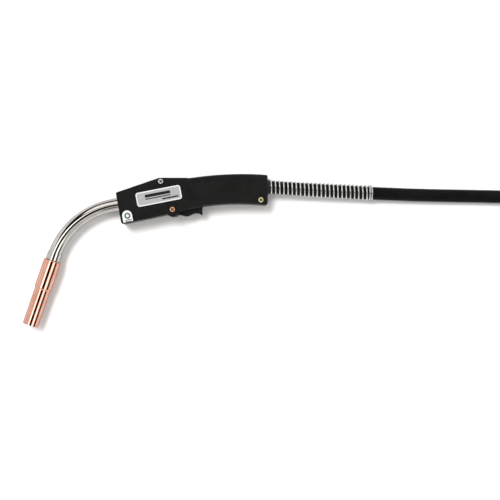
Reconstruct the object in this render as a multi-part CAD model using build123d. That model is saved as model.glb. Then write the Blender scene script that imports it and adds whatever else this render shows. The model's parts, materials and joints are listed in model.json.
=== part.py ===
from build123d import *
import os
from math import cos, pi, radians, sin, sqrt, tan

# A gas-cooled MIG welding torch lying on its side, with its power cable.
# Millimetres. +Z is up, the torch rests on the right half of its handle at Z = 0.
# The nozzle end points to -X and the power cable leaves towards +X.
# The handle, the neck and the nozzle are drawn about a datum: the point where the
# neck's axis crosses the handle's front face, on the plane where the handle splits.

# Datum and whole-torch sizes
datum_x = -98.65
datum_y = 56.27
half_thickness = 16.5
neck_tilt = 10.9
neck_bend = 60.0
neck_bend_radius = 92.0
neck_straight = 7.5
neck_lead = 6.8

# Neck tubes, from the outside in (radii)
neck_radius = 7.95
neck_bore = 6.60
insulation_radius = 6.50
insulation_bore = 4.85
conductor_radius = 4.75
conductor_bore = 2.50
liner_radius = 2.30
liner_bore = 1.20

# Nozzle and what is inside it; stations are measured from the nozzle's rear rim
nozzle_length = 83.4
nozzle_rear_length = 36.5
nozzle_rear_radius = 10.5
nozzle_front_radius = 9.55
nozzle_rear_bore = 9.0
nozzle_front_bore = 8.0
insulator_radius = 8.95
insulator_end = 32.0
diffuser_radius = 7.0
diffuser_end = 44.0
diffuser_holes = 6
tip_radius = 4.0
tip_seat = 38.0
tip_end = 77.0
tip_bore = 0.7
collar_radius = 8.6
collar_length = 10.0

# Handle
wall = 2.6
cavity_half = 13.6
housing_end = 86.0
housing_edge = 1.6
grip_edge = 5.0
screw_radius = 1.98
screw_head_radius = 3.2
screw_head_height = 1.7
screw_recess_radius = 4.0
screw_recess_depth = 2.0
screw_cross = (4.4, 1.3, 2.4)
boss_radius = 5.2
nut_flats = 7.0
nut_height = 3.1
top_screw = (53.8, 27.5)
pivot = (68.0, -6.4)
rear_screw = (174.8, 5.2)
lug_radius = 8.8
label_thickness = 0.6
label_sunk = 0.4
label_gap = 0.15
panel_depth = 0.8
panel_slope = 76.0

# Trigger and switch
trigger_half = 6.2
slot_half = 6.6
hub_radius = 5.2
bush_radius = 3.0
hub_bore = 3.06
lever_top = 1.5
plunger_x = 90.0
plunger_radius = 1.2
plunger_gap = 0.3
switch_low = 4.8
switch_high = 11.2
switch_posts = (87.4, 96.6)
spring_x = 78.0

# Power cable and its spring
cable_radius = 7.8
core_radius = 5.0
strip_width = 2.35
strip_thickness = 1.0
spring_radius = 8.4
spring_cone = 0.38
spring_pitch = 5.08
spring_turns = 24.3
spring_start = 1.3
boss_bore = 8.9

# Cable route, in the part's own frame: out of the handle, down to the surface, and to the coil
exit_point = Vector(datum_x + 185.2, datum_y + 21.2, half_thickness)
route = [
    exit_point,
    Vector(213.5, 69.3, 10.0),
    Vector(354.8, 66.4, 7.8),
    Vector(496.0, 64.6, 9.4),
]

# Coil of the spare cable: an inward spiral on the surface and an outward one on top of it
coil_centre = Vector(496.0, -47.4, 0)
coil_outer = 120.0
coil_inner = 68.0
coil_low = 1.6
coil_height = 32.0
tie_angles = (-60.0, -200.0)
tie_width = 18.0
tie_thickness = 1.3
tie_gap = 0.3
tie_side_gap = 1.0

# Where the cable leaves the coil: degrees clockwise from the coil's +Y side
leave_angle = 0.0
leave_radius = 111.0
tail_length = 68.0
connector_height = 23.0

# Rear connector, stations along its own axis from the boot's thin end
boot_length = 50.0
boot_thin = 10.0
boot_thick = 13.8
shell_start = 44.0
shell_end = 95.7
shell_radius = 19.0
shell_wall = 2.5
insulator_front = 108.0
insulator_rear = 88.0
insulator_disc = 15.95
plug_radius = 6.0
plug_end = 128.0
seal_start = 120.8
nut_start = 96.0
nut_end = 124.0
nut_radius = 23.0
nut_thread_bore = 18.5
nut_ribs = 18
pin_offset = 10.5
pin_radius = 2.0


def at_datum(shape):
    """Move a piece drawn about the datum to its place in the part's frame."""
    return Location((datum_x, datum_y, half_thickness)) * shape


def heading(angle):
    """Unit vector in the XY plane."""
    return Vector(cos(radians(angle)), sin(radians(angle)), 0)


neck_back = heading(neck_tilt)
nozzle_heading = neck_tilt + 180 + neck_bend
nozzle_dir = heading(nozzle_heading)
bend_tangent = neck_bend_radius * tan(radians(neck_bend / 2))
bend_corner = -neck_back * (neck_straight + bend_tangent)
nozzle_rear = bend_corner + nozzle_dir * (bend_tangent + neck_lead)
cable_dir = (route[1] - route[0]).normalized()
exit_local = exit_point - Vector(datum_x, datum_y, half_thickness)


def on_line(origin, direction, shape):
    """Place a shape drawn along +Z so that it runs along a direction from an origin."""
    return Plane(origin=origin, z_dir=direction).location * shape


def rod(radius, start, end):
    """Cylinder along +Z between two stations."""
    return Pos(0, 0, start) * extrude(Circle(radius), end - start)


def ring(outer, inner, start, end):
    """Tube along +Z between two stations."""
    return Pos(0, 0, start) * extrude(Circle(outer) - Circle(inner), end - start)


def turned(points):
    """Solid of revolution about Z from an outline of (radius, station) points."""
    outline = make_face(Polyline(*[(r, 0, z) for r, z in points], close=True).edges())
    return revolve(outline, Axis.Z, 360)


def on_nozzle(shape):
    """Place a shape drawn along +Z on the nozzle's axis, station 0 at the nozzle's rear rim."""
    return on_line(nozzle_rear, nozzle_dir, shape)


def on_neck_block(shape):
    """Place a shape drawn along +Z on the neck's axis, station 0 at the datum, into the handle."""
    return on_line(Vector(0, 0, 0), neck_back, shape)


def on_cable(shape):
    """Place a shape drawn along +Z on the cable's exit line, station 0 at the exit."""
    return on_line(exit_local, cable_dir, shape)


def neck_path(back, front):
    """Centre line of the neck from a depth in the handle to a station on the nozzle's axis."""
    end = nozzle_rear + nozzle_dir * front
    return FilletPolyline(neck_back * back, bend_corner, end, radius=neck_bend_radius)


def bent_tube(outer, inner, back, front):
    """Tube that follows the neck."""
    path = neck_path(back, front)
    section = Circle(outer) - Circle(inner)
    return sweep(Plane(origin=path @ 0, z_dir=path % 0) * section, path=path)


def round_corner(face, point, radius):
    """Round the corner of a flat face that is nearest to a point."""
    vertex = face.vertices().sort_by_distance(Vector(point[0], point[1], 0))[0]
    return fillet(vertex, radius)


# Nozzle end


def nozzle_shell():
    step = nozzle_rear_length
    return on_nozzle(
        turned(
            [
                (nozzle_rear_bore, 0.3),
                (nozzle_rear_bore + 0.3, 0.0),
                (nozzle_rear_radius - 0.9, 0.0),
                (nozzle_rear_radius - 0.25, 0.3),
                (nozzle_rear_radius, 1.0),
                (nozzle_rear_radius, step - 0.6),
                (nozzle_rear_radius - 0.3, step),
                (nozzle_front_radius, step + 0.9),
                (nozzle_front_radius, nozzle_length - 0.4),
                (nozzle_front_radius - 0.4, nozzle_length),
                (nozzle_front_bore, nozzle_length),
                (nozzle_front_bore, step - 1.0),
                (nozzle_rear_bore, step - 3.0),
            ]
        )
    )


def nozzle_insulator():
    return on_nozzle(ring(insulator_radius, diffuser_radius + 0.1, 1.3, insulator_end))


def gas_diffuser():
    body = turned(
        [
            (conductor_radius + 0.05, 2.0),
            (diffuser_radius, 2.0),
            (diffuser_radius, insulator_end - 1.0),
            (6.4, insulator_end),
            (6.4, diffuser_end - 1.5),
            (5.4, diffuser_end),
            (tip_radius + 0.05, diffuser_end),
            (tip_radius + 0.05, tip_seat),
            (conductor_bore, tip_seat),
            (conductor_bore, 14.3),
            (conductor_radius + 0.05, 14.3),
        ]
    )
    hole = Pos(0, 0, insulator_end + 3.0) * Rot(0, 90, 0) * extrude(Circle(1.0), 9.0)
    for index in range(diffuser_holes):
        body -= Rot(0, 0, index * 360 / diffuser_holes) * hole
    return on_nozzle(body)


def contact_tip():
    return on_nozzle(
        turned(
            [
                (tip_bore, tip_seat + 0.1),
                (tip_radius, tip_seat + 0.1),
                (tip_radius, tip_end - 8.0),
                (2.6, tip_end - 0.6),
                (2.0, tip_end),
                (tip_bore, tip_end),
            ]
        )
    )


def neck_end_collar():
    bore = neck_radius + 0.2
    return on_nozzle(
        turned(
            [
                (bore, -0.4 - collar_length),
                (collar_radius - 0.3, -0.4 - collar_length),
                (collar_radius, -0.1 - collar_length),
                (collar_radius, -0.7),
                (collar_radius - 0.3, -0.4),
                (bore, -0.4),
            ]
        )
    )


# Neck


def neck_tube():
    bead = on_neck_block(ring(neck_radius + 0.2, neck_bore + 0.2, -5.6, -4.6))
    return bent_tube(neck_radius, neck_bore, 20.0, 1.0) + bead


def neck_insulation():
    return bent_tube(insulation_radius, insulation_bore, 18.0, 0.5)


def neck_conductor():
    return bent_tube(conductor_radius, conductor_bore, 30.0, 14.0)


def wire_liner():
    return bent_tube(liner_radius, liner_bore, 64.0, tip_seat - 0.5)


def neck_block():
    body = turned(
        [
            (neck_radius + 0.05, 4.0),
            (10.2, 4.0),
            (11.0, 4.8),
            (11.0, 51.2),
            (10.2, 52.0),
            (7.05, 52.0),
            (7.05, 42.0),
            (conductor_bore, 42.0),
            (conductor_bore, 30.3),
            (conductor_radius + 0.05, 30.3),
            (conductor_radius + 0.05, 20.3),
            (neck_radius + 0.05, 20.3),
        ]
    )
    hole = Pos(0, 0, 13.0) * Rot(-90, 0, 0) * extrude(Circle(2.55), 14.0)
    return on_neck_block(body - hole)


def neck_set_screw():
    body = Pos(0, 0, 13.0) * Rot(-90, 0, 0) * rod(2.5, neck_radius + 0.05, 12.0)
    socket = Pos(0, 0, 13.0) * Rot(-90, 0, 0) * Pos(0, 0, 10.2) * extrude(RegularPolygon(1.4, 6), 2.0)
    return on_neck_block(body - socket)


def cable_ferrule():
    return on_neck_block(ring(7.0, conductor_bore, 42.3, 66.0))


# Handle


def handle_outline():
    """Side outline of the handle, without the trigger."""
    top = Polyline((-0.6, 13.9), (51.9, 31.9), (89.5, 31.8))
    back_line = ThreePointArc((89.5, 31.8), (136.0, 36.3), (183.0, 35.5))
    rear = Polyline((183.0, 35.5), (183.3, -1.5))
    grip_line = ThreePointArc((183.3, -1.5), (133.0, 0.1), (104.3, -2.4))
    bottom = Polyline((104.3, -2.4), (104.3, -3.2), (6.5, -24.2), (-0.6, 13.9))
    edges = top.edges() + back_line.edges() + rear.edges() + grip_line.edges() + bottom.edges()
    face = make_face(edges)
    for point, radius in (
        ((-0.6, 13.9), 2.0),
        ((51.9, 31.9), 14.0),
        ((89.5, 31.8), 30.0),
        ((183.0, 35.5), 2.0),
        ((183.3, -1.5), 3.5),
        ((6.5, -24.2), 2.0),
    ):
        face = round_corner(face, point, radius)
    return face + Pos(*pivot) * Circle(lug_radius)


def box_between(low, high):
    """Box from its lowest to its highest corner."""
    size = [b - a for a, b in zip(low, high)]
    middle = [(a + b) / 2 for a, b in zip(low, high)]
    return Pos(*middle) * Box(*size)


def outer_half(outline):
    """Upper half of the handle's outside: a sharp-edged housing and a rounder grip."""
    block = extrude(outline, half_thickness)
    rim = block.faces().sort_by(Axis.Z)[-1].edges()
    housing_zone = box_between((-20.0, -60.0, -1.0), (housing_end, 60.0, half_thickness + 1.0))
    return (fillet(rim, housing_edge) & housing_zone) + (fillet(rim, grip_edge) - housing_zone)


def grip_panel():
    """Shallow sunk panel in the side of the grip, cut with sloping edges."""
    top = ThreePointArc((92.0, 26.4), (122.0, 29.6), (150.0, 30.4))
    rear = ThreePointArc((150.0, 30.4), (165.0, 18.0), (152.0, 5.8))
    bottom = ThreePointArc((152.0, 5.8), (122.0, 5.4), (92.0, 4.0))
    front = ThreePointArc((92.0, 4.0), (89.0, 15.0), (92.0, 26.4))
    face = make_face(top.edges() + rear.edges() + bottom.edges() + front.edges())
    for point in ((92.0, 26.4), (150.0, 30.4), (152.0, 5.8), (92.0, 4.0)):
        face = round_corner(face, point, 4.0)
    return Pos(0, 0, half_thickness - panel_depth) * extrude(face, panel_depth + 0.1, taper=-panel_slope)


def side_label_area():
    return Pos(51.6, 9.8) * Rot(0, 0, 11.0) * RectangleRounded(54.8, 17.2, 3.0)


def front_label_area():
    plate = Pos(0, -2.9) * Rectangle(11.8, 7.8) + Pos(0, 1.0) * Circle(5.9)
    return Pos(13.6, -14.6) * Rot(0, 0, neck_tilt) * plate


def cable_ribs(side):
    """Ribs that grip the brass block and the cable, on the +Z or the -Z side."""
    low, high = sorted((0, side * (cavity_half + 0.5)))
    ribs = []
    for station in (15.0, 44.0):
        plate = Pos(0, (low + high) / 2, station) * Box(34.0, abs(high - low), 2.4)
        ribs.append(on_line(Vector(0, 0, 0), neck_back, Rot(0, 0, 90) * plate))
    for x in (148.0, 163.0):
        ribs.append(box_between((x, 0.0, low), (x + 2.4, 36.0, high)))
    return ribs


def trigger_space():
    """Room for the trigger: its slot in the bottom of the handle and its hub."""
    slot = box_between((71.0, -22.0, -slot_half), (105.2, 1.0, slot_half))
    hub = Pos(pivot[0], pivot[1], -slot_half) * extrude(Circle(hub_radius + 0.9), 2 * slot_half)
    mouth = box_between((pivot[0] + 1, -12.5, -slot_half), (73.0, 2.5, slot_half))
    return slot + hub + mouth


def handle_half(side, outline):
    """One half of the handle, side +1 for the left half (up) and -1 for the right half."""
    outside = outer_half(outline) - grip_panel()
    inside = extrude(offset(outline, -wall), cavity_half)
    shell = outside - inside
    if side < 0:
        shell = mirror(shell, Plane.XY)
        inside = mirror(inside, Plane.XY)
    for rib in cable_ribs(side):
        shell += rib & inside
    for x, y in (top_screw, rear_screw):
        boss = Pos(x, y, 0) * extrude(Circle(boss_radius), side * (cavity_half + 0.5))
        shell += boss & (inside + shell)
    shell += Pos(pivot[0], pivot[1], side * slot_half) * extrude(
        Circle(lug_radius), side * (cavity_half - slot_half + 0.5)
    )
    shell -= trigger_space()
    shell -= on_neck_block(rod(neck_radius + 0.1, -12.0, 8.0))
    shell -= on_neck_block(rod(11.1, 3.7, 52.3))
    shell -= on_neck_block(rod(7.2, 50.0, 68.0))
    shell -= on_neck_block(Pos(0, 0, 13.0) * Rot(-90, 0, 0) * rod(2.8, 0.0, 12.4))
    shell -= on_cable(rod(boss_bore, -6.6, 8.0))
    shell -= on_cable(rod(10.3, -9.3, -6.3))
    shell -= on_cable(rod(cable_radius + 0.1, -47.0, -2.0))
    return shell


def screw_places():
    return (top_screw, pivot, rear_screw)


def handle_shell_left():
    shell = handle_half(1, handle_outline())
    for x, y in screw_places():
        shell -= Pos(x, y, 0) * rod(screw_radius + 0.15, -1.0, 20.0)
        shell -= Pos(x, y, 0) * rod(screw_recess_radius, half_thickness - screw_recess_depth, 20.0)
    for area in (side_label_area(), front_label_area()):
        shell -= Pos(0, 0, half_thickness - label_sunk) * extrude(offset(area, label_gap), 2.0)
    return shell


def handle_shell_right():
    shell = handle_half(-1, handle_outline())
    ledge = box_between((75.0, 8.2, -cavity_half - 0.5), (81.0, 9.4, 3.0))
    shell += ledge
    for x in switch_posts:
        shell += Pos(x, 8.0, 0) * rod(0.95, -cavity_half - 0.5, 2.4)
    for x, y in screw_places():
        shell -= Pos(x, y, 0) * rod(screw_radius + 0.15, -20.0, 1.0)
        pocket = extrude(RegularPolygon(nut_flats / 2 + 0.1, 6, major_radius=False), 10.0)
        shell -= Pos(x, y, nut_height + 0.3 - half_thickness - 10.0) * pocket
    return shell


def handle_screw(place):
    x, y = place
    seat = half_thickness - screw_recess_depth
    head = rod(screw_head_radius, seat, seat + screw_head_height)
    head = fillet(head.edges().sort_by(Axis.Z)[-1], 0.7)
    body = head + rod(screw_radius, 0.2 - half_thickness, seat)
    for angle in (45, 135):
        blade = Pos(0, 0, seat + screw_head_height) * Rot(0, 0, angle) * Box(*screw_cross)
        body -= blade
    return Pos(x, y, 0) * body


def handle_nuts():
    nuts = []
    for x, y in screw_places():
        low = 0.2 - half_thickness
        blank = extrude(RegularPolygon(nut_flats / 2, 6, major_radius=False), nut_height)
        nuts.append(Pos(x, y, low) * (blank - rod(screw_radius + 0.02, -1.0, nut_height + 1.0)))
    return Compound(children=nuts)


def side_label():
    return Pos(0, 0, half_thickness - label_sunk) * extrude(side_label_area(), label_thickness)


def front_label():
    return Pos(0, 0, half_thickness - label_sunk) * extrude(front_label_area(), label_thickness)


# Trigger and switch


def trigger_lever():
    underside = Spline(
        (68.5, -10.5),
        (73.0, -12.0),
        (78.5, -13.2),
        (84.8, -14.5),
        (93.3, -11.3),
        (102.6, -13.1),
    )
    rest = Polyline(
        (102.6, -13.1),
        (103.7, -12.5),
        (103.7, 0.9),
        (107.4, 0.9),
        (107.4, 3.4),
        (101.6, 3.4),
        (100.6, lever_top),
        (72.0, lever_top),
        (67.9, -1.6),
        (68.5, -10.5),
    )
    body = make_face(underside.edges() + rest.edges()) + Pos(*pivot) * Circle(hub_radius)
    body = body - Pos(*pivot) * Circle(hub_bore)
    solid = Pos(0, 0, -trigger_half) * extrude(body, 2 * trigger_half)
    pad = box_between((74.0, 0.2, -3.0), (82.0, 3.0, 3.0))
    return solid - pad


def trigger_bush():
    end = slot_half - 0.05
    return Pos(*pivot, 0) * ring(bush_radius, screw_radius + 0.05, -end, end)


def coil_spring(mean_radius, wire, pitch, turns):
    """Round-wire helix along +Z."""
    line = Helix(pitch, pitch * turns, mean_radius)
    section = Plane(origin=line @ 0, z_dir=line % 0) * Circle(wire)
    return sweep(section, path=line, is_frenet=True)


def trigger_return_spring():
    coil = coil_spring(2.0, 0.28, 1.28, 5.0)
    return on_line(Vector(spring_x, 0.75, 0), Vector(0, 1, 0), coil)


def microswitch_body():
    body = box_between((86.0, switch_low, -2.9), (98.8, switch_high, 2.9))
    body = fillet(body.edges().filter_by(Axis.Z), 0.5)
    body -= on_line(Vector(plunger_x, 0, 0), Vector(0, 1, 0), rod(plunger_radius + 0.05, 0.0, 9.6))
    for x in switch_posts:
        body -= Pos(x, 8.0, 0) * rod(1.0, -5.0, 5.0)
    return body


def switch_plunger():
    stem = rod(plunger_radius, lever_top + plunger_gap, 7.0)
    stem = fillet(stem.edges().sort_by(Axis.Z)[0], 0.5)
    return on_line(Vector(plunger_x, 0, 0), Vector(0, 1, 0), stem)


def switch_terminals():
    blades = [box_between((98.8, 8.6, z - 0.6), (104.2, 9.1, z + 0.6)) for z in (-1.9, 1.9)]
    return Compound(children=blades)


def trigger_leads():
    leads = []
    for side in (-1, 1):
        path = FilletPolyline(
            (104.5, 8.85, side * 1.9),
            (112.0, 8.4, side * 2.6),
            (124.0, 11.5, side * 4.2),
            (139.0, 17.0, side * 2.6),
            radius=8.0,
        )
        section = Plane(origin=path @ 0, z_dir=path % 0) * Circle(0.8)
        leads.append(sweep(section, path=path))
    return Compound(children=leads)


# Cable


def cable_core():
    start = neck_back * 66.6
    path = FilletPolyline(start, (118.0, 22.72, 1.8), (139.6, 24.0, 2.4), radius=70.0)
    return sweep(Plane(origin=path @ 0, z_dir=path % 0) * Circle(core_radius), path=path)


def cable_front_end():
    return on_cable(rod(cable_radius, -45.0, 0.0))


def spring_collar():
    return on_cable(
        turned(
            [
                (cable_radius + 0.08, -9.0),
                (10.1, -9.0),
                (10.1, -6.5),
                (boss_bore - 0.05, -6.5),
                (boss_bore - 0.05, -0.6),
                (boss_bore - 0.5, 0.0),
                (cable_radius + 0.08, 0.0),
            ]
        )
    )


def strain_relief_spring():
    """Flat strip wound round the cable, opening a little towards its far end."""
    line = Helix(spring_pitch, spring_pitch * spring_turns, spring_radius, cone_angle=spring_cone)
    start = Plane(origin=line @ 0, x_dir=Vector(1, 0, 0), z_dir=line % 0)
    strip = sweep(start * Rectangle(strip_thickness, strip_width), path=line, is_frenet=True)
    return on_cable(Pos(0, 0, spring_start) * strip)


def corner_radii(points):
    """Arc radius for each corner of a cable route: as large as its two runs allow."""
    radii = []
    for before, corner, after in zip(points, points[1:], points[2:]):
        shorter = min((corner - before).length, (after - corner).length)
        turn = (corner - before).get_angle(after - corner)
        radii.append(0.45 * shorter / tan(radians(turn / 2)))
    return radii


def coil_entry():
    """Point where the last run of the route meets the coil's outside."""
    inset = sqrt(coil_outer ** 2 - (coil_outer - cable_radius) ** 2)
    share = 1 - inset / (route[3].X - route[2].X)
    return route[2] + (route[3] - route[2]) * share


def cable_tube(points):
    """Round cable along straight runs joined by tangent arcs."""
    radii = corner_radii(points)
    path = FilletPolyline(*points, radius=radii)
    tube = sweep(Plane(origin=path @ 0, z_dir=path % 0) * Circle(cable_radius), path=path)
    ideal = pi * cable_radius ** 2 * path.length
    print("arc radii", [round(r) for r in radii], "tube length", round(path.length, 1))
    print("tube volume over section times length", round(tube.volume / ideal, 5))
    return tube


def power_cable():
    return cable_tube(route[:3] + [coil_entry()])


def cable_coil():
    blank = ring(coil_outer, coil_inner, coil_low, coil_low + coil_height)
    return Pos(coil_centre.X, coil_centre.Y, 0) * fillet(blank.edges(), 7.0)


def coil_ties():
    """Straps round the coil's section."""
    radial = coil_outer - coil_inner + 2 * tie_side_gap
    height = coil_height + 2 * tie_gap
    middle = Vector((coil_outer + coil_inner) / 2, 0, coil_low + coil_height / 2)
    inner = RectangleRounded(radial, height, 7.0)
    outer = RectangleRounded(radial + 2 * tie_thickness, height + 2 * tie_thickness, 8.3)
    band = Plane.XZ * (outer - inner)
    strap = Pos(*middle) * Pos(0, tie_width / 2, 0) * extrude(band, tie_width)
    ties = [Pos(coil_centre.X, coil_centre.Y, 0) * Rot(0, 0, a) * strap for a in tie_angles]
    return Compound(children=ties)


def leave_point():
    """Where the cable leaves the coil's top layer, and the way it heads."""
    out = heading(90 - leave_angle)
    return coil_centre + out * leave_radius, heading(-leave_angle)


def on_connector(shape):
    """Place a shape drawn along +Z on the connector's axis, station 0 at the boot's thin end."""
    point, direction = leave_point()
    origin = point + direction * tail_length + Vector(0, 0, connector_height)
    return Plane(origin=origin, x_dir=Vector(0, 0, 1), z_dir=direction).location * shape


def cable_tail():
    inset = sqrt(coil_outer ** 2 - leave_radius ** 2)
    return on_connector(rod(cable_radius, inset - tail_length, 56.0))


# Rear connector; local X is up and local Y is level, across the connector


def rear_boot():
    bore = cable_radius + 0.08
    return on_connector(
        turned(
            [
                (bore, 0.0),
                (boot_thin - 0.5, 0.0),
                (boot_thin, 0.5),
                (boot_thin + 1.2, 14.0),
                (boot_thin + 2.6, 30.0),
                (boot_thick, 43.0),
                (boot_thick, 47.3),
                (16.0, 47.3),
                (16.0, boot_length + 1.0),
                (bore, boot_length + 1.0),
            ]
        )
    )


def connector_blank():
    inner = shell_radius - shell_wall
    body = turned(
        [
            (boot_thick + 0.1, shell_start),
            (16.5, shell_start),
            (shell_radius - 0.5, shell_start + 4.0),
            (shell_radius, shell_start + 8.0),
            (shell_radius, shell_end - 1.0),
            (shell_radius - 1.0, shell_end),
            (insulator_disc + 0.1, shell_end),
            (insulator_disc + 0.1, insulator_rear - 0.2),
            (inner, insulator_rear - 0.2),
            (inner, shell_start + 3.0),
            (boot_thick + 0.1, shell_start + 3.0),
        ]
    )
    bore = rod(inner + 1.0, shell_start + 3.0, insulator_rear - 0.2)
    for side in (-1, 1):
        column = Pos(0, side * 13.2, 70.0) * Rot(0, 90, 0) * extrude(Circle(3.2), 18.0, both=True)
        body += column & bore
    return body


def connector_shell(side):
    keep = Pos(side * 20.0, 0, 70.0) * Box(40.0, 60.0, 80.0)
    body = connector_blank() & keep
    for way in (-1, 1):
        hole = Pos(0, way * 13.2, 70.0) * Rot(0, 90, 0)
        body -= hole * extrude(Circle(1.55), 25.0, both=True)
        if side > 0:
            body -= hole * rod(2.9, 9.5, 25.0)
    return on_connector(body)


def connector_screws():
    screws = []
    for way in (-1, 1):
        shank = rod(1.5, -10.5, 9.5)
        head = rod(2.7, 9.5, 11.3)
        head = fillet(head.edges().sort_by(Axis.Z)[-1], 0.6)
        slot = Pos(0, 0, 11.3) * (Box(3.2, 0.7, 1.6) + Box(0.7, 3.2, 1.6))
        screw = Pos(0, way * 13.2, 70.0) * Rot(0, 90, 0) * (shank + head - slot)
        screws.append(on_connector(screw))
    return Compound(children=screws)


def rear_ferrule():
    return on_connector(ring(7.8, conductor_bore, 56.3, 73.7))


def adaptor_body():
    shoulder = insulator_rear + 6.0
    stem = plug_radius - 0.5
    groove = plug_radius - 1.4
    body = turned(
        [
            (conductor_bore, 74.0),
            (10.0, 74.0),
            (10.0, shoulder),
            (stem, shoulder),
            (stem, insulator_front + 0.2),
            (plug_radius, insulator_front + 0.2),
            (plug_radius, seal_start),
            (groove, seal_start),
            (groove, seal_start + 2.0),
            (plug_radius, seal_start + 2.0),
            (plug_radius, plug_end - 1.0),
            (plug_radius - 1.0, plug_end),
            (conductor_bore, plug_end),
        ]
    )
    return on_connector(body)


def adaptor_insulator():
    body = turned(
        [
            (10.05, insulator_rear),
            (insulator_disc, insulator_rear),
            (insulator_disc, 102.3),
            (17.8, 102.3),
            (17.8, 106.0),
            (insulator_disc, 106.6),
            (insulator_disc, insulator_front),
            (plug_radius - 0.45, insulator_front),
            (plug_radius - 0.45, insulator_rear + 6.2),
            (10.05, insulator_rear + 6.2),
        ]
    )
    for side in (-1, 1):
        body -= Pos(0, side * pin_offset, 0) * rod(pin_radius + 0.05, 96.0, insulator_front + 1.0)
    return on_connector(body)


def contact_pin(side):
    pin = rod(pin_radius, 100.0, 118.0)
    pin = fillet(pin.edges().sort_by(Axis.Z)[-1], 1.4)
    return on_connector(Pos(0, side * pin_offset, 0) * pin)


def plug_seal():
    return on_connector(Pos(0, 0, seal_start + 1.0) * Torus(plug_radius - 0.72, 0.66))


def wire_inlet_nut():
    body = turned(
        [
            (liner_bore, plug_end - 6.0),
            (conductor_bore - 0.05, plug_end - 6.0),
            (conductor_bore - 0.05, plug_end + 0.1),
            (4.2, plug_end + 0.1),
            (4.2, plug_end + 4.0),
            (2.4, plug_end + 9.0),
            (liner_bore, plug_end + 9.0),
        ]
    )
    return on_connector(body)


def locking_nut():
    body = turned(
        [
            (insulator_disc + 0.05, nut_start),
            (nut_radius - 2.6, nut_start),
            (nut_radius - 1.0, nut_start + 1.6),
            (nut_radius - 1.0, nut_end - 1.0),
            (nut_radius - 2.0, nut_end),
            (nut_thread_bore, nut_end),
            (nut_thread_bore, 102.0),
            (insulator_disc + 0.05, 102.0),
        ]
    )
    rib = Pos(nut_radius - 1.6, 0, 0) * rod(1.6, nut_start + 3.0, nut_end - 2.4)
    for index in range(nut_ribs):
        body += Rot(0, 0, index * 360 / nut_ribs) * rib
    return on_connector(body)


def datum_nodes():
    return {
        "nozzle_shell": nozzle_shell(),
        "nozzle_insulator": nozzle_insulator(),
        "gas_diffuser": gas_diffuser(),
        "contact_tip": contact_tip(),
        "neck_end_collar": neck_end_collar(),
        "neck_tube": neck_tube(),
        "neck_insulation": neck_insulation(),
        "neck_conductor": neck_conductor(),
        "wire_liner": wire_liner(),
        "neck_block": neck_block(),
        "neck_set_screw": neck_set_screw(),
        "cable_ferrule": cable_ferrule(),
        "cable_core": cable_core(),
        "cable_front_end": cable_front_end(),
        "handle_shell_left": handle_shell_left(),
        "handle_shell_right": handle_shell_right(),
        "handle_screw_top": handle_screw(top_screw),
        "handle_screw_middle": handle_screw(pivot),
        "handle_screw_rear": handle_screw(rear_screw),
        "handle_nuts": handle_nuts(),
        "side_label": side_label(),
        "front_label": front_label(),
        "trigger_lever": trigger_lever(),
        "trigger_bush": trigger_bush(),
        "trigger_return_spring": trigger_return_spring(),
        "microswitch_body": microswitch_body(),
        "switch_plunger": switch_plunger(),
        "switch_terminals": switch_terminals(),
        "trigger_leads": trigger_leads(),
        "spring_collar": spring_collar(),
        "strain_relief_spring": strain_relief_spring(),
    }


def cable_nodes():
    return {
        "power_cable": power_cable(),
        "cable_coil": cable_coil(),
        "coil_ties": coil_ties(),
        "cable_tail": cable_tail(),
        "rear_boot": rear_boot(),
        "connector_shell_upper": connector_shell(1),
        "connector_shell_lower": connector_shell(-1),
        "connector_screws": connector_screws(),
        "rear_ferrule": rear_ferrule(),
        "adaptor_body": adaptor_body(),
        "adaptor_insulator": adaptor_insulator(),
        "contact_pin_a": contact_pin(1),
        "contact_pin_b": contact_pin(-1),
        "plug_seal": plug_seal(),
        "wire_inlet_nut": wire_inlet_nut(),
        "locking_nut": locking_nut(),
    }


def main():
    os.makedirs("parts", exist_ok=True)
    nodes = {name: at_datum(shape) for name, shape in datum_nodes().items()}
    nodes.update(cable_nodes())
    for name, shape in nodes.items():
        export_step(shape, f"parts/{name}.step")


main()
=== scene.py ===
import json
from math import cos, pi, radians, sin

import bmesh
import bpy
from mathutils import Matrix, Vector


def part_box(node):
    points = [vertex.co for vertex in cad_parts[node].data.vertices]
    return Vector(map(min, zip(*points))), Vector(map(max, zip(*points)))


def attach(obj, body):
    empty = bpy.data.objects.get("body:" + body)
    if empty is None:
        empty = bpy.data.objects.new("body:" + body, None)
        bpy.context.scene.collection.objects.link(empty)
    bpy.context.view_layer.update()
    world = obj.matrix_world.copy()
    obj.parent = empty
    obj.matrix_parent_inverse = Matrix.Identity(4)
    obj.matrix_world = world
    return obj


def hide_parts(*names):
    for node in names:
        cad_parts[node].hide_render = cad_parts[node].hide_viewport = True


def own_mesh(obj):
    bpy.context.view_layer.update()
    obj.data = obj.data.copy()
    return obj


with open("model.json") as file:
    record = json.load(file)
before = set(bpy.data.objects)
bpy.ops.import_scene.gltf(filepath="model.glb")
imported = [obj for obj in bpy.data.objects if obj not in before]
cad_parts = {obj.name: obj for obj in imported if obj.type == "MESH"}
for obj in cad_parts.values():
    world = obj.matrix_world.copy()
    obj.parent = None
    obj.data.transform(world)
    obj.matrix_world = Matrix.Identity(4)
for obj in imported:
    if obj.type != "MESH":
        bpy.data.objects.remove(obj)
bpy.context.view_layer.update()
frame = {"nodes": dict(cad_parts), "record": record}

# Looks of a gas-cooled MIG welding torch that lies on its side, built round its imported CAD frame.
# Metres, in the frame of the CAD nodes: +Z is up and the torch rests on Z = 0.

MM = 0.001
UP = Vector((0, 0, 1))
# Height of the plane in which the torch bends and its handle halves meet
MID_HEIGHT = 16.5 * MM


# Camera: straight down on the torch, with the lens and the sensor in millimetres

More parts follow.
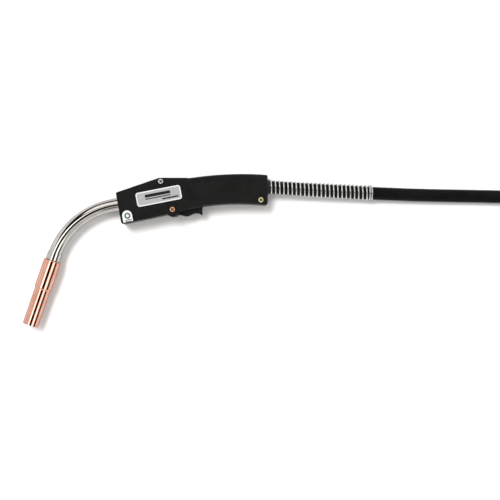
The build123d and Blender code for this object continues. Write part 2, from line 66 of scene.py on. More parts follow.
LENS = 85.0
SENSOR = 36.0
VIEW_WIDTH = 0.610
VIEW_CENTRE = Vector((0.06305, 0.00087, MID_HEIGHT))


def make_camera():
    data = bpy.data.cameras.new("camera")
    data.lens = LENS
    data.sensor_width = SENSOR
    camera = bpy.data.objects.new("camera", data)
    camera.location = VIEW_CENTRE + UP * VIEW_WIDTH * LENS / SENSOR
    bpy.context.scene.collection.objects.link(camera)
    bpy.context.scene.camera = camera


# Route of the power cable: its points where it lies loose, then the turns of the coil

CABLE_RADIUS = 7.8 * MM
CABLE_SPAN_STEPS = 12
CABLE_BEVEL_STEPS = 8
CABLE_EXIT = Vector((0.08655, 0.07747, MID_HEIGHT))
ROUTE = [
    CABLE_EXIT,
    Vector((0.2135, 0.0693, 0.0100)),
    Vector((0.3548, 0.0664, 0.0078)),
    Vector((0.4960, 0.0646, 0.0094)),
]
COIL_CENTRE = Vector((0.4960, -0.0474, 0))
COIL_STEP = 15.0
# Angle in degrees clockwise from the coil's +Y side, radius, height of the cable's centre
COIL_STATIONS = (
    (0.0, 0.112, 0.0094),
    (720.0, 0.080, 0.0094),
    (840.0, 0.076, 0.0252),
    (1080.0, 0.092, 0.0252),
    (1440.0, 0.111, 0.0252),
)
LEAVE_ANGLE = COIL_STATIONS[-1][0]
# Straight run from the coil to the boot's thin end, and how far into the boot the cable goes
TAIL_LENGTH = 68.0 * MM
CABLE_END_STATION = 45.0 * MM
CONNECTOR_HEIGHT = 23.0 * MM


def coil_station(angle):
    """Radius and height of the coiled cable at an angle."""
    for (a, r, z), (b, s, y) in zip(COIL_STATIONS, COIL_STATIONS[1:]):
        if angle <= b:
            share = (angle - a) / (b - a)
            return r + (s - r) * share, z + (y - z) * share
    return COIL_STATIONS[-1][1:]


def outward(angle):
    """Level direction from the coil's centre at an angle in degrees clockwise from +Y."""
    return Vector((sin(radians(angle)), cos(radians(angle)), 0))


def coil_points():
    """Control points along the turns of the coil."""
    points = []
    for step in range(1, round(LEAVE_ANGLE / COIL_STEP) + 1):
        radius, height = coil_station(step * COIL_STEP)
        points.append(COIL_CENTRE + outward(step * COIL_STEP) * radius + UP * height)
    return points


def connector_axis():
    """Point at the boot's thin end and the level direction of the rear connector."""
    direction = outward(LEAVE_ANGLE + 90.0)
    point = COIL_CENTRE + outward(LEAVE_ANGLE) * COIL_STATIONS[-1][1] + direction * TAIL_LENGTH
    return point + UP * CONNECTOR_HEIGHT, direction


def nurbs_curve(name, points, span_steps):
    """Curve object of one open quadratic NURBS spline with these control points."""
    data = bpy.data.curves.new(name, "CURVE")
    data.dimensions = "3D"
    data.resolution_u = span_steps
    spline = data.splines.new("NURBS")
    spline.points.add(len(points) - 1)
    for place, point in zip(spline.points, points):
        place.co = (*point, 1.0)
    spline.order_u = 3
    spline.use_endpoint_u = True
    curve = bpy.data.objects.new(name, data)
    bpy.context.scene.collection.objects.link(curve)
    return curve


def make_cable():
    """The whole cable: its loose route, its coil and its straight end in the boot."""
    boot_point, direction = connector_axis()
    points = ROUTE + coil_points() + [boot_point, boot_point + direction * CABLE_END_STATION]
    cable = nurbs_curve("power_cable_whole", points, CABLE_SPAN_STEPS)
    cable.data.bevel_depth = CABLE_RADIUS
    cable.data.bevel_resolution = CABLE_BEVEL_STEPS
    cable.data.use_fill_caps = True
    return cable


def line_of(points, span_steps):
    """Points read from the NURBS line of a route."""
    guide = nurbs_curve("guide", points, span_steps)
    mesh = bpy.data.meshes.new_from_object(guide)
    line = [vertex.co.copy() for vertex in mesh.vertices]
    bpy.data.objects.remove(guide)
    bpy.data.meshes.remove(mesh)
    return line


# Mesh building


def mesh_object(name, vertices, faces, sharp=40.0):
    """Smooth-shaded piece with its faces turned outwards, sharp at edges above an angle in degrees."""
    mesh = bpy.data.meshes.new(name)
    mesh.from_pydata([tuple(v) for v in vertices], [], faces)
    mesh.validate()
    work = bmesh.new()
    work.from_mesh(mesh)
    bmesh.ops.recalc_face_normals(work, faces=work.faces)
    work.to_mesh(mesh)
    work.free()
    mesh.shade_smooth()
    mesh.set_sharp_from_angle(angle=radians(sharp))
    piece = bpy.data.objects.new(name, mesh)
    bpy.context.scene.collection.objects.link(piece)
    return piece


def joined(name, parts):
    """One piece made of parts that are each a pair of vertices and faces."""
    vertices, faces = [], []
    for part_vertices, part_faces in parts:
        base = len(vertices)
        vertices += part_vertices
        faces += [tuple(base + i for i in face) for face in part_faces]
    return mesh_object(name, vertices, faces)


def sweep(frames, section, closed=False):
    """Vertices and faces of a section carried along frames of (origin, across, outward)."""
    count = len(section)
    vertices = [o + a * u + n * v for o, a, n in frames for u, v in section]
    faces = []
    last = len(frames) if closed else len(frames) - 1
    for i in range(last):
        low = i * count
        high = (i + 1) % len(frames) * count
        for j in range(count):
            k = (j + 1) % count
            faces.append((low + j, low + k, high + k, high + j))
    if not closed:
        faces.append(tuple(reversed(range(count))))
        faces.append(tuple(range(last * count, len(vertices))))
    return vertices, faces


def circle(radius, steps=48):
    """Outline, anticlockwise, centred on the origin."""
    angles = [2 * pi * step / steps for step in range(steps)]
    return [(radius * cos(a), radius * sin(a)) for a in angles]


def rounded_rectangle(width, height, radius, arc_steps=3):
    """Outline, anticlockwise, centred on the origin."""
    points = []
    for corner, (sx, sy) in enumerate(((1, 1), (-1, 1), (-1, -1), (1, -1))):
        cx = sx * (width / 2 - radius)
        cy = sy * (height / 2 - radius)
        for step in range(arc_steps + 1):
            angle = radians(90 * corner + 90 * step / arc_steps)
            points.append((cx + radius * cos(angle), cy + radius * sin(angle)))
    return points


# Spring strain relief: flat strip wound round the cable, a little wider towards its far end, where
# its last turns lie close together

GUIDE_SPAN_STEPS = 90
STRIP_WIDTH = 1.6 * MM
STRIP_THICKNESS = 1.0 * MM
STRIP_CORNER = 0.35 * MM
SPRING_START = 0.8 * MM
SPRING_PITCH = 5.08 * MM
SPRING_OPEN_TURNS = 23.77
SPRING_CLOSED_TURNS = 2.1
SPRING_CLOSED_PITCH = 2.55 * MM
SPRING_NEAR_RADIUS = 8.4 * MM
SPRING_FAR_RADIUS = 9.2 * MM
SPRING_STEPS = 48


def make_spring():
    line = line_of(ROUTE, GUIDE_SPAN_STEPS)
    stations = [0.0]
    for a, b in zip(line, line[1:]):
        stations.append(stations[-1] + (b - a).length)
    total = SPRING_OPEN_TURNS + SPRING_CLOSED_TURNS
    length = SPRING_OPEN_TURNS * SPRING_PITCH + SPRING_CLOSED_TURNS * SPRING_CLOSED_PITCH
    frames = []
    here = 0
    for step in range(round(total * SPRING_STEPS) + 1):
        turn = step / SPRING_STEPS
        open_part = min(turn, SPRING_OPEN_TURNS) * SPRING_PITCH
        closed_part = max(turn - SPRING_OPEN_TURNS, 0.0) * SPRING_CLOSED_PITCH
        along = open_part + closed_part
        station = SPRING_START + along
        while stations[here + 1] < station:
            here += 1
        share = (station - stations[here]) / (stations[here + 1] - stations[here])
        centre = line[here].lerp(line[here + 1], share)
        axis = (line[here + 1] - line[here]).normalized()
        side = UP.cross(axis).normalized()
        top = axis.cross(side)
        radius = SPRING_NEAR_RADIUS + (SPRING_FAR_RADIUS - SPRING_NEAR_RADIUS) * along / length
        normal = side * cos(2 * pi * turn) + top * sin(2 * pi * turn)
        frames.append((centre + normal * radius, axis, normal))
    section = rounded_rectangle(STRIP_WIDTH, STRIP_THICKNESS, STRIP_CORNER)
    return joined("strain_relief_strip_spring", [sweep(frames, section)])


# Return spring of the trigger: round wire with closed end turns, wound from its foot along +Y. The
# pulled trigger presses it towards its seat.

RETURN_FOOT = Vector((-0.02065, 0.05685, MID_HEIGHT))
RETURN_RADIUS = 2.0 * MM
RETURN_WIRE_RADIUS = 0.28 * MM
RETURN_WIRE_SIDES = 12
RETURN_WIRE_SHARP = 80.0
RETURN_HEIGHT = 6.7 * MM
RETURN_TURNS = 6.5
RETURN_CLOSED_TURNS = 0.9
RETURN_CLOSED_PITCH = 0.6 * MM
RETURN_STEPS = 40


def make_return_spring():
    axis = Vector((0, 1, 0))
    side = Vector((1, 0, 0))
    wire_height = RETURN_HEIGHT - 2 * RETURN_WIRE_RADIUS
    open_turns = RETURN_TURNS - 2 * RETURN_CLOSED_TURNS
    open_pitch = (wire_height - 2 * RETURN_CLOSED_TURNS * RETURN_CLOSED_PITCH) / open_turns
    frames = []
    for step in range(round(RETURN_TURNS * RETURN_STEPS) + 1):
        turn = step / RETURN_STEPS
        open_part = min(max(turn - RETURN_CLOSED_TURNS, 0.0), open_turns)
        height = open_part * open_pitch + (turn - open_part) * RETURN_CLOSED_PITCH
        normal = side * cos(2 * pi * turn) + UP * sin(2 * pi * turn)
        centre = RETURN_FOOT + axis * (RETURN_WIRE_RADIUS + height) + normal * RETURN_RADIUS
        frames.append((centre, axis, normal))
    vertices, faces = sweep(frames, circle(RETURN_WIRE_RADIUS, RETURN_WIRE_SIDES))
    return mesh_object("trigger_return_wire_spring", vertices, faces, RETURN_WIRE_SHARP)


# Straps round the coil

TIE_ANGLES = (150.0, 290.0)
TIE_WIDTH = 18.0 * MM
TIE_THICKNESS = 1.25 * MM
TIE_CORNER = 0.5 * MM
TIE_GAP = 0.15 * MM
TIE_STEPS = 96
# Start and end in degrees round the bundle from its outside, layers beneath, and whether it closes
TIE_LAYERS = ((0, 360, 0, True), (-20, 128, 1, False))


def bundle_at(angle):
    """Radius and height of each pass of the cable at a direction from the coil's centre."""
    passes = []
    while angle < LEAVE_ANGLE:
        passes.append(coil_station(angle))
        angle += 360.0
    return passes


def strap_frames(angle, start, end, rise):
    """Frames along a strap pulled tight round the bundle, from start to end in degrees."""
    out = outward(angle)
    tangent = outward(angle + 90.0)
    frames = []
    for step in range(TIE_STEPS):
        turn = radians(start + (end - start) * step / TIE_STEPS)
        radial, lift = cos(turn), sin(turn)
        r, z = max(bundle_at(angle), key=lambda p: p[0] * radial + p[1] * lift)
        normal = out * radial + UP * lift
        reach = CABLE_RADIUS + TIE_GAP + rise
        frames.append((COIL_CENTRE + out * r + UP * z + normal * reach, tangent, normal))
    return frames


def make_ties():
    section = rounded_rectangle(TIE_WIDTH, TIE_THICKNESS, TIE_CORNER)
    straps = []
    for angle in TIE_ANGLES:
        for start, end, layer, closed in TIE_LAYERS:
            rise = TIE_THICKNESS * (layer + 0.5)
            straps.append(sweep(strap_frames(angle, start, end, rise), section, closed))
    return joined("coil_strap_ties", straps)


# Boot behind the rear connector, in millimetres: a tapered sleeve with grooves that let it bend

BOOT_BORE = 7.88
BOOT_LIP = 0.5
# Station from the thin end and outer radius
BOOT_TAPER = ((BOOT_LIP, 10.0), (14.0, 11.2), (30.0, 12.6), (43.0, 13.8))
BOOT_FLANGE = ((47.3, 13.8), (47.3, 16.0), (51.0, 16.0))
GROOVES = 8
GROOVE_START = 4.0
GROOVE_PITCH = 4.3
GROOVE_WIDTH = 1.9
GROOVE_SLOPE = 0.35
GROOVE_DEPTH = 1.2
BOOT_STEPS = 96


def boot_radius(station):
    """Outer radius of the boot's taper at a station."""
    for (a, r), (b, s) in zip(BOOT_TAPER, BOOT_TAPER[1:]):
        if station <= b:
            return r + (s - r) * (station - a) / (b - a)
    return BOOT_TAPER[-1][1]


def boot_outline():
    """Half section of the boot in metres: station along the axis and radius."""
    outline = [(0.0, BOOT_TAPER[0][1] - BOOT_LIP), BOOT_TAPER[0]]
    for groove in range(GROOVES):
        start = GROOVE_START + groove * GROOVE_PITCH
        end = start + GROOVE_WIDTH
        outline += [
            (start - GROOVE_SLOPE, boot_radius(start - GROOVE_SLOPE)),
            (start, boot_radius(start) - GROOVE_SLOPE),
            (start + GROOVE_SLOPE, boot_radius(start) - GROOVE_DEPTH),
            (end - GROOVE_SLOPE, boot_radius(end) - GROOVE_DEPTH),
            (end, boot_radius(end) - GROOVE_SLOPE),
            (end + GROOVE_SLOPE, boot_radius(end + GROOVE_SLOPE)),
        ]
    outline += [BOOT_TAPER[-1], *BOOT_FLANGE]
    outline += [(BOOT_FLANGE[-1][0], BOOT_BORE), (0.0, BOOT_BORE)]
    return [(station * MM, radius * MM) for station, radius in outline]


def make_boot():
    point, axis = connector_axis()
    side = UP.cross(axis)
    frames = []
    for step in range(BOOT_STEPS):
        turn = 2 * pi * step / BOOT_STEPS
        frames.append((point, axis, side * cos(turn) + UP * sin(turn)))
    return joined("rear_ringed_boot", [sweep(frames, boot_outline(), closed=True)])


# Prints on the labels: a plain rim, a plain ring and plain bars, raised by the thickness of the ink

INK = 0.06 * MM
SIDE_TILT = radians(11.0)
FRONT_TILT = radians(10.9)
# The prints' sizes are in millimetres, and so are their places, along and across a label from its
# centre. A rim has a width, a height and a corner radius.
SIDE_RIM_OUTSIDE = (54.4, 16.8, 2.8)
SIDE_RIM_INSIDE = (52.2, 14.6, 1.7)
RIM_ARC_STEPS = 6
# A bar has a place, a width and a height
SIDE_BARS = ((-1.0, 2.6, 31.0, 3.6), (-1.0, -1.0, 31.0, 1.2), (13.5, -4.3, 20.0, 1.7))
FRONT_BARS = ((0.3, -4.1, 8.0, 0.9), (0.3, -5.7, 8.0, 0.6))
# Corner radius as a share of a bar's shorter side
BAR_ROUNDING = 0.2
FRONT_RING_PLACE = (0.0, 1.0)
FRONT_RING_RADII = (3.9, 1.7)


def label_frame(node, tilt):
    """Centre of a label's top face, and the directions along it and across it."""
    low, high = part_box(node)
    centre = (low + high) / 2
    centre.z = high.z
    along = Vector((cos(tilt), sin(tilt), 0))
    return centre, along, UP.cross(along)


def raised(outline, frame_of_label):
    """Prism of an outline on a label, as vertices and faces."""
    centre, along, across = frame_of_label
    flat = [centre + along * u + across * v for u, v in outline]
    vertices = flat + [p + UP * INK for p in flat]
    count = len(flat)
    faces = [tuple(reversed(range(count))), tuple(range(count, 2 * count))]
    faces += [(i, (i + 1) % count, (i + 1) % count + count, i + count) for i in range(count)]
    return vertices, faces


def raised_ring(outline, inset_outline, frame_of_label):
    """Raised band between two matching outlines on a label."""
    centre, along, across = frame_of_label
    count = len(outline)
    vertices = []
    for lift in (0.0, INK):
        for loop in (outline, inset_outline):
            vertices += [centre + along * u + across * v + UP * lift for u, v in loop]
    faces = []
    for i in range(count):
        k = (i + 1) % count
        faces.append((2 * count + i, 2 * count + k, 3 * count + k, 3 * count + i))
        faces.append((i, i + count, k + count, k))
        faces.append((i, k, 2 * count + k, 2 * count + i))
        faces.append((count + k, count + i, 3 * count + i, 3 * count + k))
    return vertices, faces


def moved(outline, u, v):
    """Outline moved by millimetres along and across the label."""
    return [(a + u * MM, b + v * MM) for a, b in outline]


def rim_outline(width, height, radius):
    return rounded_rectangle(width * MM, height * MM, radius * MM, RIM_ARC_STEPS)


def bar_outline(u, v, width, height):
    radius = BAR_ROUNDING * min(width, height) * MM
    return moved(rounded_rectangle(width * MM, height * MM, radius), u, v)


def make_bars(name, bars, frame_of_label):
    return joined(name, [raised(bar_outline(*bar), frame_of_label) for bar in bars])


def make_side_prints():
    place = label_frame("side_label", SIDE_TILT)
    rim = raised_ring(rim_outline(*SIDE_RIM_OUTSIDE), rim_outline(*SIDE_RIM_INSIDE), place)
    return joined("side_label_rim", [rim]), make_bars("side_label_bars", SIDE_BARS, place)


def make_front_prints():
    place = label_frame("front_label", FRONT_TILT)
    outlines = [moved(circle(radius * MM), *FRONT_RING_PLACE) for radius in FRONT_RING_RADII]
    ring = joined("front_label_ring", [raised_ring(*outlines, place)])
    return ring, make_bars("front_label_bars", FRONT_BARS, place)


# Materials

# Scales of the noise patterns, in features per metre
PLASTIC_PATCHES = 60.0
PLASTIC_RUBBING = 140.0
PLASTIC_GRAIN = 1900.0
METAL_STAINS = 45.0
METAL_MARKS = 900.0
RUBBER_PATCHES = 90.0
RUBBER_RUBBING = 300.0
RUBBER_WAVES = 130.0
RUBBER_GRAIN = 1500.0
WEBBING_PATCHES = 500.0
WEBBING_RIBS = 260.0
FILM_LINES = 2500.0
STRAND_LINES = 700.0
PAPER_PATCHES = 4.0

# Most of a noise's values lie between these two
NOISE_LOW = 0.35
NOISE_HIGH = 0.65

# How far roughness goes up and down from its middle
PLASTIC_SPREAD = 0.07
FILM_SPREAD = 0.06
RUBBER_SPREAD = 0.09

NOZZLE_HEADING = radians(70.9)
# Painted shade down in the screws' cross recesses: its colour, full at this depth under a head's face and
# gone by half of it
RECESS_SHADE_COLOUR = (0.02, 0.018, 0.015)
RECESS_SHADE_DEPTH = 0.6 * MM
PARTING_WIDTH = 0.6 * MM
PARTING_DEPTH = 0.3 * MM


def new_material(name, colour, roughness, metallic=0.0, **uniform):
    """Principled material whose uniform values sit on the shader itself."""
    material = bpy.data.materials.new(name)
    material.use_nodes = True
    shader = material.node_tree.nodes["Principled BSDF"]
    shader.inputs["Base Color"].default_value = (*colour, 1.0)
    shader.inputs["Roughness"].default_value = roughness
    shader.inputs["Metallic"].default_value = metallic
    for socket, value in uniform.items():
        shader.inputs[socket.replace("_", " ")].default_value = value
    return material


def shader_of(material):
    return material.node_tree.nodes["Principled BSDF"]


def add_node(tree, kind, inputs=(), **settings):
    """New node with its settings, and inputs given as (socket, value or output)."""
    node = tree.nodes.new(kind)
    for key, value in settings.items():
        setattr(node, key, value)
    for socket, value in inputs:
        if isinstance(value, bpy.types.NodeSocket):
            tree.links.new(value, node.inputs[socket])
        else:
            node.inputs[socket].default_value = value
    return node


def math_node(tree, operation, first, second=0.0):
    """Result of an operation on one or two values."""
    return add_node(tree, "ShaderNodeMath", ((0, first), (1, second)), operation=operation).outputs[0]


def place_on(material, stretch=(1, 1, 1), turn=0.0):
    """Object coordinates, first stretched and then turned about Z."""
    tree = material.node_tree
    coordinates = add_node(tree, "ShaderNodeTexCoord")
    inputs = (("Vector", coordinates.outputs["Object"]), ("Rotation", (0, 0, turn)), ("Scale", stretch))
    return add_node(tree, "ShaderNodeMapping", inputs).outputs["Vector"]


def height_on(material):
    """Height above the floor of each point of the surface."""
    return add_node(material.node_tree, "ShaderNodeSeparateXYZ", ((0, place_on(material)),)).outputs[2]


def noise(material, scale, detail=3.0, vector=None):
    """Noise value between 0 and 1."""
    tree = material.node_tree
    vector = vector or place_on(material)
    inputs = (("Vector", vector), ("Scale", scale), ("Detail", detail))
    return add_node(tree, "ShaderNodeTexNoise", inputs).outputs["Fac"]


def ramp(tree, value, low, high, start, end):
    """Value carried from low at start to high at end."""
    inputs = (("Value", value), ("From Min", start), ("From Max", end), ("To Min", low), ("To Max", high))
    return add_node(tree, "ShaderNodeMapRange", inputs).outputs["Result"]


def vary_colour(material, value, dark, light, start=NOISE_LOW, end=NOISE_HIGH):
    """Base colour from dark where the value is at start to light where it is at end."""
    tree = material.node_tree
    factor = ramp(tree, value, 0.0, 1.0, start, end)
    inputs = (("Fac", factor), ("Color1", (*dark, 1.0)), ("Color2", (*light, 1.0)))
    mix = add_node(tree, "ShaderNodeMixRGB", inputs)
    tree.links.new(mix.outputs["Color"], shader_of(material).inputs["Base Color"])


def vary_roughness(material, value, middle, spread):
    """Roughness that follows a noise value up and down from its middle."""
    tree = material.node_tree
    result = ramp(tree, value, middle - spread, middle + spread, NOISE_LOW, NOISE_HIGH)
    tree.links.new(result, shader_of(material).inputs["Roughness"])


def add_bump(material, height, distance):
    """Relief of a height map, on top of any relief already there."""
    tree = material.node_tree
    normal = shader_of(material).inputs["Normal"]
    inputs = [("Height", height), ("Distance", distance), ("Strength", 1.0)]
    if normal.is_linked:
        inputs.append(("Normal", normal.links[0].from_socket))
    bump = add_node(tree, "ShaderNodeBump", inputs)
    tree.links.new(bump.outputs["Normal"], normal)


def moulded_plastic(name, dark, light, roughness, specular=0.22):
    """Spark-eroded moulded plastic: fine grain, soft colour patches and slightly rubbed areas."""
    material = new_material(name, light, roughness, Specular_IOR_Level=specular)
    vary_colour(material, noise(material, PLASTIC_PATCHES), dark, light)
    vary_roughness(material, noise(material, PLASTIC_RUBBING), roughness, PLASTIC_SPREAD)
    add_bump(material, noise(material, PLASTIC_GRAIN, 2.0), 0.04 * MM)
    return material


def metal(name, dark, light, roughness, spread=0.05, stretch=(1, 1, 1), turn=0.0, rim=1.0):
    """Metal with faint stains and fine marks, and reflections dimmed to rim where seen edge-on."""
    material = new_material(name, light, roughness, 1.0, Specular_Tint=(rim, rim, rim, 1.0))
    vary_colour(material, noise(material, METAL_STAINS, 4.0), dark, light, 0.3, 0.6)
    marks = noise(material, METAL_MARKS, 2.0, place_on(material, stretch, turn))
    vary_roughness(material, marks, roughness, spread)
    add_bump(material, marks, 0.004 * MM)
    return material


def handle_plastic():
    """Handle moulding with a fine groove where its two halves meet."""
    material = moulded_plastic(
        "handle_plastic", (0.004, 0.004, 0.0039), (0.0065, 0.0064, 0.0062), 0.48, specular=0.11
    )
    tree = material.node_tree
    above = math_node(tree, "SUBTRACT", height_on(material), MID_HEIGHT)
    off_line = math_node(tree, "ABSOLUTE", above)
    groove = ramp(tree, off_line, 0.0, 1.0, PARTING_WIDTH / 4, PARTING_WIDTH / 2)
    add_bump(material, groove, PARTING_DEPTH)
    return material


def screw_metal(name, screw, dark, light):
    """Dull plated screw head with painted shade down in its cross recess."""
    material = metal(name, dark, light, 0.42)
    tree = material.node_tree
    socket = shader_of(material).inputs["Base Color"]
    plating = socket.links[0].from_socket
    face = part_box(screw)[1].z
    # Painted shade: the plating turns dark towards the bottom of the cross recess
    unshaded = ramp(tree, height_on(material), 0.0, 1.0, face - RECESS_SHADE_DEPTH, face - RECESS_SHADE_DEPTH / 2)
    inputs = (("Fac", unshaded), ("Color1", (*RECESS_SHADE_COLOUR, 1.0)), ("Color2", plating))
    tree.links.new(add_node(tree, "ShaderNodeMixRGB", inputs).outputs["Color"], socket)
    return material


def cable_rubber():
    """Dull black rubber, slightly uneven, with a fine grain."""
    material = new_material("cable_rubber", (0.0035, 0.0035, 0.0037), 0.51, Specular_IOR_Level=0.06)
    patches = noise(material, RUBBER_PATCHES)
    vary_colour(material, patches, (0.0025, 0.0025, 0.0027), (0.0045, 0.0045, 0.0047))
    vary_roughness(material, noise(material, RUBBER_RUBBING), 0.51, RUBBER_SPREAD)
    add_bump(material, noise(material, RUBBER_WAVES, 2.0), 0.4 * MM)
    add_bump(material, noise(material, RUBBER_GRAIN, 2.0), 0.05 * MM)
    return material


def webbing():
    """Black woven tape: fine ribs that cross each other."""
    material = new_material(
        "tie_webbing", (0.012, 0.012, 0.013), 0.8, Sheen_Weight=0.08, Sheen_Roughness=0.4
    )
    patches = noise(material, WEBBING_PATCHES)
    vary_colour(material, patches, (0.007, 0.007, 0.0075), (0.016, 0.016, 0.017))
    tree = material.node_tree
    for direction in ("X", "Y", "Z"):
        inputs = (("Vector", place_on(material)), ("Scale", WEBBING_RIBS), ("Distortion", 0.6))
        wave = add_node(tree, "ShaderNodeTexWave", inputs, bands_direction=direction)
        add_bump(material, wave.outputs["Fac"], 0.12 * MM)
    return material


def label_film(name, dark, light, roughness, specular=0.5):
    """Printed film with fine brushed lines along X."""
    material = new_material(name, light, roughness, Specular_IOR_Level=specular)
    lines = noise(material, FILM_LINES, 2.0, place_on(material, (0.03, 1, 1), -SIDE_TILT))
    vary_colour(material, lines, dark, light, 0.3, 0.7)
    vary_roughness(material, lines, roughness, FILM_SPREAD)
    return material


def stranded_copper():
    """Bare copper with strands along X."""
    material = new_material("cable_strands", (0.75, 0.35, 0.2), 0.35, 1.0)
    lines = noise(material, STRAND_LINES, 2.0, place_on(material, (0.08, 1, 1)))
    vary_colour(material, lines, (0.45, 0.2, 0.1), (0.8, 0.4, 0.24))
    add_bump(material, lines, 0.3 * MM)
    return material


def make_materials():
    """Materials by name: one for each slot of the record, and two inks for the labels."""
    made = [
        metal(
            "nozzle_copper",
            (0.62, 0.30, 0.22),
            (0.71, 0.39, 0.31),
            0.07,
            spread=0.02,
            stretch=(0.02, 1, 1),
            turn=-NOZZLE_HEADING,
            rim=0.35,
        ),
        metal("tip_copper", (0.62, 0.25, 0.14), (0.80, 0.38, 0.24), 0.25),
        metal("brass_parts", (0.62, 0.42, 0.14), (0.78, 0.56, 0.24), 0.22),
        metal("neck_nickel", (0.44, 0.42, 0.395), (0.51, 0.49, 0.465), 0.05, spread=0.02, rim=0.25),
        screw_metal("silver_screw", "handle_screw_top", (0.70, 0.74, 0.76), (0.86, 0.90, 0.92)),
        screw_metal("copper_screw", "handle_screw_middle", (0.76, 0.38, 0.24), (0.92, 0.54, 0.38)),
        screw_metal("gold_screw", "handle_screw_rear", (0.76, 0.62, 0.30), (0.94, 0.84, 0.50)),
        metal("nut_steel", (0.45, 0.45, 0.44), (0.62, 0.62, 0.6), 0.35),
        metal("screw_steel", (0.45, 0.45, 0.44), (0.66, 0.66, 0.64), 0.3),
        metal("liner_steel", (0.4, 0.4, 0.4), (0.55, 0.55, 0.55), 0.35),
        metal("spring_steel", (0.5, 0.5, 0.5), (0.65, 0.65, 0.65), 0.3),
        metal("spring_chrome", (0.56, 0.56, 0.55), (0.68, 0.68, 0.67), 0.08, spread=0.03, rim=0.4),
        handle_plastic(),
        moulded_plastic("trigger_plastic", (0.004, 0.004, 0.0039), (0.006, 0.006, 0.0058), 0.42, 0.14),
        moulded_plastic("insulating_resin", (0.10, 0.035, 0.02), (0.15, 0.055, 0.03), 0.45),
        moulded_plastic("insulation_sleeve", (0.02, 0.02, 0.02), (0.03, 0.03, 0.03), 0.5),
        moulded_plastic("switch_plastic", (0.012, 0.012, 0.014), (0.02, 0.02, 0.022), 0.4),
        moulded_plastic("plunger_red", (0.35, 0.015, 0.012), (0.45, 0.03, 0.02), 0.4),
        moulded_plastic("lead_insulation", (0.35, 0.3, 0.26), (0.5, 0.44, 0.4), 0.5),
        moulded_plastic("boot_rubber", (0.010, 0.010, 0.011), (0.017, 0.017, 0.018), 0.6),
        moulded_plastic("connector_plastic", (0.012, 0.012, 0.013), (0.02, 0.02, 0.021), 0.42),
        moulded_plastic("nut_plastic", (0.011, 0.011, 0.012), (0.018, 0.018, 0.019), 0.38),
        moulded_plastic("seal_rubber", (0.008, 0.008, 0.008), (0.014, 0.014, 0.014), 0.55),
        label_film("label_silver", (0.25, 0.252, 0.26), (0.32, 0.322, 0.33), 0.4),
        label_film("label_white", (0.58, 0.60, 0.59), (0.66, 0.68, 0.67), 0.45),
        label_film("ink_dark", (0.004, 0.004, 0.005), (0.010, 0.010, 0.011), 0.45, 0.1),
        label_film("ink_green_grey", (0.05, 0.09, 0.075), (0.09, 0.15, 0.125), 0.45, 0.3),
        cable_rubber(),
        webbing(),
        stranded_copper(),
    ]
    return {material.name: material for material in made}


def set_material(piece, material):
    """Material in a piece's first slot, which is made if there is none."""
    if piece.data.materials:
        piece.data.materials[0] = material
    else:
        piece.data.materials.append(material)


# Surroundings: pale floor, soft light from the upper left, and a studio for the metal to reflect

# Wide enough that a low view from the side ends on the floor
FLOOR_REACH = 25.0
# Just under the pieces that lie on Z = 0
FLOOR_GAP = 0.2 * MM
SUN_ENERGY = 2.7
SUN_ANGLE = radians(20.0)
SUN_TOWARDS = Vector((0.30, -0.34, -1.0))


def make_floor():
    sides = ((-1, -1), (1, -1), (1, 1), (-1, 1))
    corners = [(x * FLOOR_REACH, y * FLOOR_REACH, -FLOOR_GAP) for x, y in sides]
    floor = mesh_object("floor", corners, [(0, 1, 2, 3)])
    material = new_material("floor_paper", (0.82, 0.82, 0.82), 0.9, Specular_IOR_Level=0.1)
    vary_colour(material, noise(material, PAPER_PATCHES), (0.775, 0.777, 0.78), (0.785, 0.785, 0.785))
    set_material(floor, material)


def make_sun():
    """Soft key light. The metal mirrors the studio instead of the lamp."""
    data = bpy.data.lights.new("sun", "SUN")
    data.energy = SUN_ENERGY
    data.angle = SUN_ANGLE
    sun = bpy.data.objects.new("sun", data)
    sun.rotation_mode = "QUATERNION"
    sun.rotation_quaternion = SUN_TOWARDS.to_track_quat("-Z", "Y")
    sun.visible_glossy = False
    bpy.context.scene.collection.objects.link(sun)


# The studio round the torch, drawn on a flat chart of the sky: degrees from the zenith along +X
# and along +Y. A big round reflector stands on the +Y side, and its rim is a dark hoop, of which
# only the -X half is drawn. The hoop ends HOOP_END degrees on the +Y side of the zenith, and is
# fully dark HOOP_FADE degrees further on.
STUDIO_TINT = (1.0, 0.985, 0.965)
WALL_LIGHT = 0.93
# Share of the light that is left where the studio is dark
DARK_SHARE = 0.02
# Chart place, radius, softness and strength
SOFT_BOXES = (
    ((-11.0, 31.0), 13.0, 9.0, 2.0),
    ((-18.0, 3.0), 7.0, 5.0, 3.4),
    ((34.0, -17.0), 8.0, 5.0, 2.8),
    ((-54.0, 38.0), 18.0, 12.0, 1.3),
)
# Chart place, radius and softness: the camera overhead and the gaps between lamps and walls
DARK_SPOTS = (
    ((11.0, -8.0), 8.0, 4.0),
    ((1.0, -4.0), 10.0, 3.0),
    ((4.0, -19.0), 7.0, 3.0),
    ((1.0, -46.0), 6.0, 3.0),
    ((62.0, -31.0), 9.0, 5.0),
    ((-26.0, 80.0), 14.0, 5.0),
)
HOOP_CENTRE = (-1.0, 49.0)
HOOP_RADIUS = 42.0
HOOP_WIDTH = 17.0
HOOP_SOFTNESS = 3.0
HOOP_END = 8.0
HOOP_FADE = 8.0


def chart_distance(tree, chart, place):
    """Degrees between a sky direction and a place on the chart."""
    inputs = ((0, chart), (1, (*place, 0.0)))
    return add_node(tree, "ShaderNodeVectorMath", inputs, operation="DISTANCE").outputs["Value"]


def within(tree, distance, radius, softness):
    """1 up to a radius, falling to 0 over the softness."""
    return ramp(tree, distance, 1.0, 0.0, radius, radius + softness)


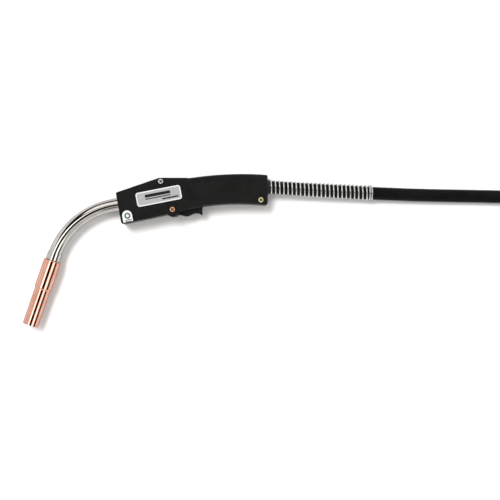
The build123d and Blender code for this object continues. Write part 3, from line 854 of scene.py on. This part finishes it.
def sky_chart(tree):
    """Chart place of each sky direction, as a vector."""
    direction = add_node(tree, "ShaderNodeTexCoord").outputs["Generated"]
    height = add_node(tree, "ShaderNodeSeparateXYZ", ((0, direction),)).outputs[2]
    from_zenith = math_node(tree, "MULTIPLY", math_node(tree, "ARCCOSINE", height), 180 / pi)
    vector = "ShaderNodeVectorMath"
    level = add_node(tree, vector, ((0, direction), (1, (1, 1, 0))), operation="MULTIPLY").outputs[0]
    level = add_node(tree, vector, ((0, level),), operation="NORMALIZE").outputs[0]
    return add_node(tree, vector, ((0, level), ("Scale", from_zenith)), operation="SCALE").outputs[0]


def make_world():
    """Studio walls with soft lamps, the hoop and the dark spots."""
    world = bpy.data.worlds.new("studio")
    bpy.context.scene.world = world
    world.use_nodes = True
    tree = world.node_tree
    tree.nodes.clear()
    chart = sky_chart(tree)
    light = WALL_LIGHT
    for place, radius, softness, strength in SOFT_BOXES:
        lobe = within(tree, chart_distance(tree, chart, place), radius, softness)
        extra = math_node(tree, "MULTIPLY", lobe, strength - WALL_LIGHT)
        light = math_node(tree, "MAXIMUM", light, math_node(tree, "ADD", extra, WALL_LIGHT))
    off_hoop = math_node(tree, "SUBTRACT", chart_distance(tree, chart, HOOP_CENTRE), HOOP_RADIUS)
    hoop = within(tree, math_node(tree, "ABSOLUTE", off_hoop), HOOP_WIDTH / 2, HOOP_SOFTNESS)
    east, north = add_node(tree, "ShaderNodeSeparateXYZ", ((0, chart),)).outputs[:2]
    west_half = math_node(tree, "LESS_THAN", east, HOOP_CENTRE[0])
    ending = ramp(tree, north, 0.0, 1.0, HOOP_END, HOOP_END + HOOP_FADE)
    dark = math_node(tree, "MULTIPLY", math_node(tree, "MULTIPLY", hoop, west_half), ending)
    for place, radius, softness in DARK_SPOTS:
        spot = within(tree, chart_distance(tree, chart, place), radius, softness)
        dark = math_node(tree, "MAXIMUM", dark, spot)
    strength = math_node(tree, "MULTIPLY", light, ramp(tree, dark, 1.0, DARK_SHARE, 0.0, 1.0))
    inputs = (("Color", (*STUDIO_TINT, 1.0)), ("Strength", strength))
    background = add_node(tree, "ShaderNodeBackground", inputs)
    output = add_node(tree, "ShaderNodeOutputWorld")
    tree.links.new(background.outputs[0], output.inputs["Surface"])


# Putting it together

make_camera()
cable = make_cable()
spring = make_spring()
return_spring = make_return_spring()
ties = make_ties()
boot = make_boot()
side_rim, side_bars = make_side_prints()
front_ring, front_bars = make_front_prints()

# The frame's plain materials make way for the ones made here
for plain in list(bpy.data.materials):
    bpy.data.materials.remove(plain)
materials = make_materials()
for subpart in frame["record"]["subparts"]:
    set_material(frame["nodes"][subpart["node"]], materials[subpart["material_slot"]])

# Piece, its material, and the record's slot that goes with it
new_pieces = (
    (cable, "cable_rubber", "cable_rubber"),
    (spring, "spring_chrome", "spring_chrome"),
    (return_spring, "spring_steel", "spring_steel"),
    (ties, "tie_webbing", "tie_webbing"),
    (boot, "boot_rubber", "boot_rubber"),
    (side_rim, "label_white", "label_white"),
    (side_bars, "ink_dark", "label_silver"),
    (front_ring, "ink_green_grey", "label_white"),
    (front_bars, "ink_dark", "label_white"),
)
for piece, material_name, slot in new_pieces:
    set_material(piece, materials[material_name])
    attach(piece, "torch")

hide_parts("power_cable", "cable_coil", "cable_tail")
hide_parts("strain_relief_spring")
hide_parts("coil_ties")
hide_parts("rear_boot")
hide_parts("trigger_return_spring")
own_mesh(return_spring)

make_floor()
make_sun()
make_world()
bpy.context.scene.view_settings.view_transform = "Standard"
